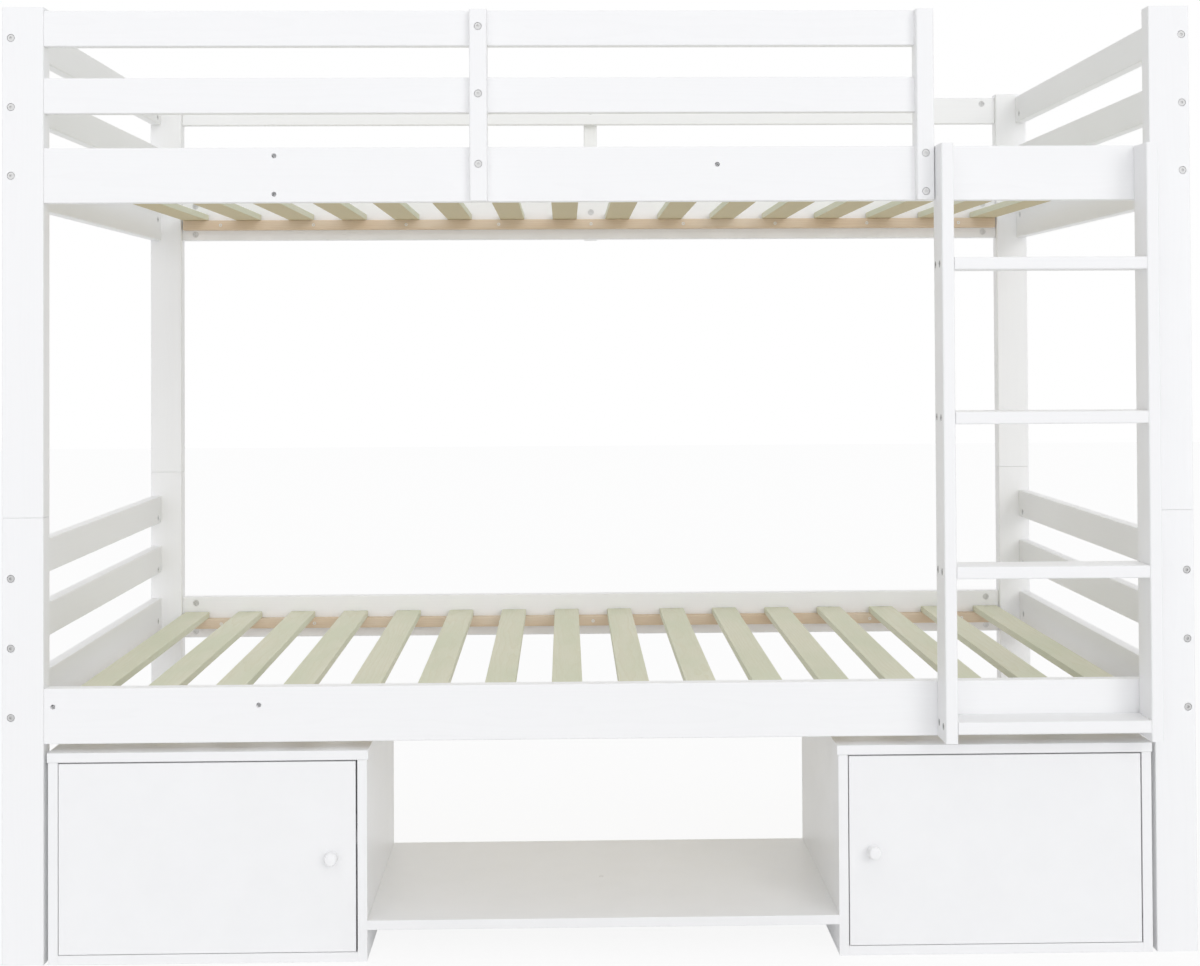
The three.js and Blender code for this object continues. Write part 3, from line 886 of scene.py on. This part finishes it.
def set_all(name, stack, places, material):
    """Copies of one ring stack, each turned to its outward normal, as one mesh."""
    rows, columns = stack.shape[:2]
    faces = copies_of(grid_faces(rows, columns), len(places), rows * columns)
    points = []
    for centre, outward in places:
        outward = np.array(outward, float)
        side = np.roll(outward, 1)
        up = np.cross(outward, side)
        turned = stack[..., :1] * side + stack[..., 1:2] * up + stack[..., 2:] * outward
        points.append(turned + np.array(centre))
    mesh = bpy.data.meshes.new(name)
    mesh.from_pydata(np.concatenate(points).reshape(-1, 3).tolist(), [], faces)
    mesh.update()
    mesh.shade_smooth()
    mesh.set_sharp_from_angle(angle=np.radians(30))
    as_piece(name, mesh, material, "bed", "bright_steel")


# %% Bolt heads and barrel nuts
HEAD_RADIUS = 6.0 * MM
NUT_RADIUS = 6.8 * MM
SUNK = 0.15 * MM
RIM_SUNK = 0.35 * MM
EASED_RIM = 0.95
FACE_SHARE = 0.84
SHANK_SUNK = 3.2 * MM
KEY_HALF_WIDTH = 2.3 * MM
KEY_DEPTH = 2.9 * MM
CROSS_LENGTH = 10.4 * MM
CROSS_WIDTH = 3.4 * MM
CROSS_DEPTH = 3.1 * MM
TAPER = 0.1 * MM

head_stack = ring_stack(HEAD_SIDES, [
    (HEAD_RADIUS, -SHANK_SUNK),
    (HEAD_RADIUS, -0.9 * MM),
    (EASED_RIM * HEAD_RADIUS, -RIM_SUNK),
    (FACE_SHARE * HEAD_RADIUS, -SUNK),
    (lambda a: hexagon(a, KEY_HALF_WIDTH), -SUNK),
    (lambda a: hexagon(a, KEY_HALF_WIDTH - TAPER), -KEY_DEPTH),
])
nut_stack = ring_stack(HEAD_SIDES, [
    (NUT_RADIUS, -SHANK_SUNK),
    (NUT_RADIUS, -RIM_SUNK),
    (EASED_RIM * NUT_RADIUS, -SUNK),
    (lambda a: cross(a, CROSS_LENGTH, CROSS_WIDTH), -SUNK),
    (lambda a: cross(a, CROSS_LENGTH - 2 * TAPER, CROSS_WIDTH - 2 * TAPER), -CROSS_DEPTH),
])
for side, _ in SIDES:
    for row, _ in ROWS:
        for berth in BERTHS:
            post = half_post(berth, row, side)
            # Heads on the lower posts take the darker copy of the steel, as painted shade.
            post_steel = bolt_steel if berth == "upper" else shaded_bolt_steel
            set_all(f"bolts_{post}", head_stack, heads[post], post_steel)
for upright in ("front_guard_upright_mid", "front_guard_upright_entry", "rear_guard_upright"):
    set_all(f"bolts_{upright}", head_stack, heads[upright], bolt_steel)
for stile, _ in STILES:
    # The stiles' heads take the deepest painted shade of the same steel.
    set_all(f"bolts_{stile}", head_stack, heads[stile], deep_shaded_bolt_steel)
for node, places in nuts.items():
    set_all(f"nuts_{node}", nut_stack, places, nut_steel)
print("bolts:", sum(map(len, heads.values())), "nuts:", sum(map(len, nuts.values())))

# %% Wood screws
LEDGER_SCREW_RADIUS = 3.6 * MM
SLAT_SCREW_RADIUS = 3 * MM
SHELF_SCREW_RADIUS = 4.5 * MM
CROWN = 0.4 * MM
LEDGER_SCREW_PITCH = 212 * MM
SLAT_SCREW_SHARE = 0.6


def screw_stack(radius, proud):
    """A countersunk head: a low rim, a shallow crown and a cross recess."""
    return ring_stack(SCREW_SIDES, [
        (0.8 * radius, -1.0 * MM),
        (radius, 0.0),
        (0.94 * radius, proud),
        (lambda a: cross(a, 1.25 * radius, 0.4 * radius), proud),
        (lambda a: cross(a, 1.0 * radius, 0.3 * radius), proud - 0.9 * MM),
    ])


# Nine screws along each ledger, at mid height of its inner face, and one at each end of each slat.
ledger_screws, slat_screws = [], []
for berth in BERTHS:
    low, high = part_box(f"{berth}_slat_deck")
    for x in np.arange(-4, 5) * LEDGER_SCREW_PITCH:
        for y, outward in ((low.y + LEDGER_WIDTH, 1), (high.y - LEDGER_WIDTH, -1)):
            ledger_screws.append(((x, y, low.z + LEDGER_HEIGHT / 2), (0, outward, 0)))
    for x in slat_places:
        for y in (low.y + LEDGER_WIDTH * SLAT_SCREW_SHARE, high.y - LEDGER_WIDTH * SLAT_SCREW_SHARE):
            slat_screws.append(((x, y, high.z), (0, 0, 1)))
set_all("ledger_screws", screw_stack(LEDGER_SCREW_RADIUS, CROWN), ledger_screws, bolt_steel)
set_all("slat_screws", screw_stack(SLAT_SCREW_RADIUS, 0.0), slat_screws, bolt_steel)
shelf_top = (0.0, middle_of("shelf")[1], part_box("shelf")[1].z)
set_all("shelf_screw", screw_stack(SHELF_SCREW_RADIUS, CROWN), [(shelf_top, (0, 0, 1))], bolt_steel)
print("screws:", len(ledger_screws), len(slat_screws), 1)

# %% [markdown]
# ## The storage base
#
# The cabinets and the shelf are coated board with crisp edges, which is how their solids already are, so
# those stay and only take the finish. The knobs are remade as smooth turned shapes.

# %% Coated panels
for name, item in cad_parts.items():
    if "cabinet" in name or name.startswith("shelf") or name.endswith("_door"):
        item.data.materials.clear()
        item.data.materials.append(white_panel)
print("coated:", sum(white_panel.name in item.data.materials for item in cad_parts.values()))

# %% Turned shapes
TURNED_SIDES = 48


def turned_mesh(name, centre, radius, along):
    """A profile turned about a line along Y: smooth, closed, with its faces outwards."""
    angle = np.linspace(0.0, 2 * np.pi, TURNED_SIDES, endpoint=False)
    x = centre[0] + radius[:, None] * np.cos(angle)
    z = centre[2] + radius[:, None] * np.sin(angle)
    y = np.broadcast_to(centre[1] + along[:, None], x.shape)
    points = np.stack([x, y, z], axis=-1)
    mesh = merged_mesh(name, points, grid_faces(*points.shape[:2]), outwards=True)
    mesh.shade_smooth()
    return mesh


# %% Knobs
NECK_WIDTH = 0.56
NECK_LENGTH = 0.42
RIM_START = 0.62
RIM_ROUND = 0.34
CROWN_WIDTH = 0.66
CROWN_START = 0.96


def smoothstep(t):
    """Zero to one with level ends."""
    return t * t * (3 - 2 * t)


def knob_profile(low, high):
    """A knob's radius and its distance from the door, point by point.

    A neck flares to the full width, a quarter turn rounds the rim and a shallow parabola crowns it. The
    shares above are of the knob's greatest radius and of its length.
    """
    length = high.y - low.y
    widest = (high.x - low.x) / 2
    flare = np.linspace(0.0, 1.0, 12)
    neck = widest * (NECK_WIDTH + (1 - NECK_WIDTH) * smoothstep(flare))
    neck_depth = NECK_LENGTH * length * flare
    turn = np.linspace(0.0, np.pi / 2, 10)[1:]
    rim = widest - RIM_ROUND * widest * (1 - np.cos(turn))
    rim_depth = RIM_START * length + RIM_ROUND * length * np.sin(turn)
    crown = np.linspace(1.0, 0.02, 7)[1:]
    crown_radius = CROWN_WIDTH * widest * crown
    crown_depth = length * (CROWN_START + (1 - CROWN_START) * (1 - crown ** 2))
    return np.concatenate([neck, rim, crown_radius]), np.concatenate([neck_depth, rim_depth, crown_depth])


for side, _ in SIDES:
    node = f"{side}_knob"
    low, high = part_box(node)
    radius, depth = knob_profile(low, high)
    centre = (middle_of(node)[0], high.y, middle_of(node)[2])
    mesh = turned_mesh(f"{node}_turned", centre, radius, -depth)
    store_board_vector(mesh, np.array(low), np.array(high))
    as_piece(f"{node}_turned", mesh, white_paint, f"{side}_door_leaf", "white_paint", node)
print("knobs: 2")

# %% [markdown]
# ## Hinges and catches
#
# The doors hang on concealed hinges: a steel cup let into the door, and an arm on the cabinet side that
# reaches into it. They show when a door stands open. The cups ride on the doors, the arms stay with the
# cabinet.

# %% Hinge arms
ARM_EDGE = 0.8 * MM
ARM_RISE = 10 * MM
ARM_HALF = 6.5 * MM
ARM_BEHIND_NOSE = 1 * MM
ARM_SHORT_OF_REAR = 3 * MM
KNUCKLE_LENGTH = 13 * MM
KNUCKLE_HALF = 5.5 * MM
NOSE_FRONT = 5 * MM
NOSE_REACH = 11 * MM
NOSE_LENGTH = 8 * MM
NOSE_HALF = 5 * MM
PLATE_FROM_NOSE = 22 * MM
PLATE_THICKNESS = 2.0 * MM
PLATE_WING = 8 * MM
PLATE_SCREW_INSET = 20 * MM
PLATE_SCREW_RADIUS = 3.2 * MM
PLATE_SCREW_CROWN = 0.3 * MM


def pressed_steel(name, boxes, edge):
    """Several eased boxes in one mesh, smooth over their eased edges only."""
    mesh = eased_blocks(name, boxes, edge)
    mesh.shade_smooth()
    mesh.set_sharp_from_angle(angle=np.radians(40))
    return mesh


def hinge_arm_boxes(node, x_sign):
    """Mounting plate, arm, knuckle and nose, fitted into the solid's own box."""
    low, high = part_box(node)
    wall = face_of(node, "x", x_sign)
    tip = face_of(node, "x", -x_sign)
    middle = middle_of(node)[2]
    nose = low.y + NOSE_FRONT

    def span(first, second, front, back, half):
        """A box between two places along X and two along Y, half above and half below the middle."""
        return (min(first, second), front, middle - half), (max(first, second), back, middle + half)

    plate_half = (high.z - low.z) / 2 + PLATE_WING
    return [
        span(wall, wall - x_sign * PLATE_THICKNESS, nose + PLATE_FROM_NOSE, high.y, plate_half),
        span(wall, wall - x_sign * ARM_RISE, nose + ARM_BEHIND_NOSE, high.y - ARM_SHORT_OF_REAR, ARM_HALF),
        span(wall, tip, nose, nose + KNUCKLE_LENGTH, KNUCKLE_HALF),
        span(tip, tip + x_sign * NOSE_REACH, low.y, nose + NOSE_LENGTH, NOSE_HALF),
    ]


for side, x_sign in SIDES:
    for height in ("lower", "upper"):
        node = f"{side}_hinge_arm_{height}"
        mesh = pressed_steel(f"{node}_steel", hinge_arm_boxes(node, x_sign), ARM_EDGE)
        as_piece(f"{node}_steel", mesh, hinge_steel, "bed", "bright_steel", node)
        low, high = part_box(node)
        face = face_of(node, "x", x_sign) - x_sign * PLATE_THICKNESS
        screws = [((face, high.y - PLATE_SCREW_INSET, z), (-x_sign, 0, 0))
                  for z in (low.z - PLATE_WING / 2, high.z + PLATE_WING / 2)]
        set_all(f"{node}_screws", screw_stack(PLATE_SCREW_RADIUS, PLATE_SCREW_CROWN), screws, hinge_steel)
print("hinge arms: 4")

# %% Hinge cups
CUP_RADIUS = 17.4 * MM
CUP_DEPTH = 10.6 * MM
CUP_RIM = 4.5 * MM
CUP_WALL = 0.8 * MM
CUP_SUNK = 0.2 * MM
CUP_HALF_BORE = 17.5 * MM
HINGE_INSET = 75 * MM

# An open cup: an eased foot, a straight wall outside and in, a flat floor; radius and height over the foot.
cup_profile = np.array([
    (CUP_RADIUS - 2 * MM, 0.0), (CUP_RADIUS, 1.5 * MM), (CUP_RADIUS, CUP_DEPTH),
    (CUP_RADIUS - CUP_WALL, CUP_DEPTH), (CUP_RADIUS - CUP_WALL, 2.2 * MM), (CUP_RADIUS - 3 * MM, CUP_WALL),
])
for side, x_sign in SIDES:
    low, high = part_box(f"{side}_door")
    edge_x = face_of(f"{side}_door", "x", x_sign)
    for height, z in (("lower", low.z + HINGE_INSET), ("upper", high.z - HINGE_INSET)):
        centre = (edge_x - x_sign * (CUP_RIM + CUP_HALF_BORE), high.y - CUP_DEPTH - CUP_SUNK, z)
        mesh = turned_mesh(f"{side}_hinge_cup_{height}", centre, *cup_profile.T)
        mesh.set_sharp_from_angle(angle=np.radians(35))
        as_piece(f"{side}_hinge_cup_{height}", mesh, hinge_steel, f"{side}_door_leaf", "bright_steel")
print("hinge cups: 4")

# %% Catches
CATCH_EDGE = 1.5 * MM
STRIKER_EDGE = 0.4 * MM
STRIKER_PROUD = 0.05 * MM
STRIKER_DEPTH = 3 * MM
STRIKER_INSET_X = 2 * MM
STRIKER_INSET_Z = 5 * MM

for side, _ in SIDES:
    node = f"{side}_door_catch"
    low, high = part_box(node)
    make_board(f"{node}_body", low, high, CATCH_EDGE, catch_plastic, "grey_plastic", (node,))
    striker = [((low.x + STRIKER_INSET_X, low.y - STRIKER_PROUD, low.z + STRIKER_INSET_Z),
                (high.x - STRIKER_INSET_X, low.y + STRIKER_DEPTH, high.z - STRIKER_INSET_Z))]
    mesh = pressed_steel(f"{side}_catch_plate", striker, STRIKER_EDGE)
    as_piece(f"{side}_catch_plate", mesh, hinge_steel, "bed", "bright_steel")
print("catches: 2")

# %% [markdown]
# ## Floor and light
#
# The picture is a cut-out on plain white. A pale floor and a white world give that, and both are seen by
# the camera as they are written, whatever the lamps do. The floor still takes a soft shadow.
#
# In a picture of this kind the light comes from large screens before and behind the bed. The world does
# their work. Its level is a sum of even powers of a direction's three parts: the square and the fourth
# power along the depth, for a wide and a narrow pair of screens, and the squares upwards and towards the
# bed's two ends. One far lamp on the right adds a little direction.

# %% Rays that see plain white
def plainly_seen(tree):
    """One for rays from the camera, off gloss and through glass, zero for the rays that carry light."""
    paths = add_node(tree, "ShaderNodeLightPath")
    seen = math_node(tree, "MAXIMUM", paths.outputs["Is Camera Ray"], paths.outputs["Is Transmission Ray"])
    return math_node(tree, "MAXIMUM", seen, paths.outputs["Is Glossy Ray"])


# %% Floor
FLOOR_HALF = 14.0
FLOOR_COLOUR = (0.9, 0.9, 0.9, 1.0)
FLOOR_WHITE_SHARE = 0.9

floor_mesh = bpy.data.meshes.new("floor")
corners = [(x * FLOOR_HALF, y * FLOOR_HALF, 0.0) for x, y in ((-1, -1), (1, -1), (1, 1), (-1, 1))]
floor_mesh.from_pydata(corners, [], [(0, 1, 2, 3)])
floor = put_in_scene("floor", floor_mesh)

floor_material, floor_tree, floor_shader = new_material(
    "pale floor", Base_Color=FLOOR_COLOUR, Roughness=0.9, Specular_IOR_Level=0.0)
plain_white = add_node(floor_tree, "ShaderNodeEmission", Strength=1.0)
share = math_node(floor_tree, "MULTIPLY", plainly_seen(floor_tree), FLOOR_WHITE_SHARE)
floor_mix = add_node(floor_tree, "ShaderNodeMixShader", Fac=share)
floor_tree.links.new(floor_shader.outputs[0], floor_mix.inputs[1])
floor_tree.links.new(plain_white.outputs[0], floor_mix.inputs[2])
floor_tree.links.new(floor_mix.outputs[0], floor_tree.nodes["Material Output"].inputs["Surface"])
floor_mesh.materials.append(floor_material)
print("floor half width", FLOOR_HALF)

# %% World
# The direction's part, its power and the level, for the wide and the narrow screens, the ends and above.
SCREENS = (("Y", 2.0, 0.94), ("Y", 4.0, 0.71), ("X", 2.0, 0.25), ("Z", 2.0, 0.88))
COOL_WHITE = (0.991, 0.995, 1.012)

world = bpy.data.worlds.new("white surround")
bpy.context.scene.world = world
world.use_nodes = True
tree = world.node_tree
background = tree.nodes["Background"]
towards = add_node(tree, "ShaderNodeTexCoord").outputs["Generated"]
direction = add_node(tree, "ShaderNodeSeparateXYZ", Vector=towards)
surround = weighted_sum(tree, *((math_node(tree, "POWER", direction.outputs[axis], power), level)
                                for axis, power, level in SCREENS))
seen = plainly_seen(tree)
unseen = math_node(tree, "SUBTRACT", 1.0, seen)
strength = math_node(tree, "ADD", math_node(tree, "MULTIPLY", surround, unseen), seen)
tree.links.new(strength, background.inputs["Strength"])
tree.links.new(blend_colours(tree, seen, COOL_WHITE, (1.0, 1.0, 1.0)), background.inputs["Color"])
print("world screens", SCREENS)

# %% Lamp
# The share is the part of a facing white surface's light that the lamp brings.
WARM_WHITE = (1.01, 1.0, 0.985)
LAMP_BEARING = np.radians(30.0)
LAMP_HEIGHT = np.radians(22.0)
LAMP_BREADTH = np.radians(28.0)
LAMP_SHARE = 0.125

lamp = bpy.data.lights.new("right lamp", "SUN")
lamp.angle = LAMP_BREADTH
lamp.energy = LAMP_SHARE * np.pi
lamp.color = WARM_WHITE
holder = put_in_scene("right lamp", lamp)
raised = Matrix.Rotation(-LAMP_HEIGHT, 3, "X") @ Vector((0, -1, 0))
towards = Matrix.Rotation(LAMP_BEARING, 3, "Z") @ raised
holder.rotation_euler = (-towards).to_track_quat("-Z", "Y").to_euler()
holder.visible_glossy = False
bpy.context.scene.view_settings.view_transform = "Standard"
print("lamps: 1")

# %% Sizes and finish
print("frame ", [[round(v, 4) for v in corner] for corner in cad_box])
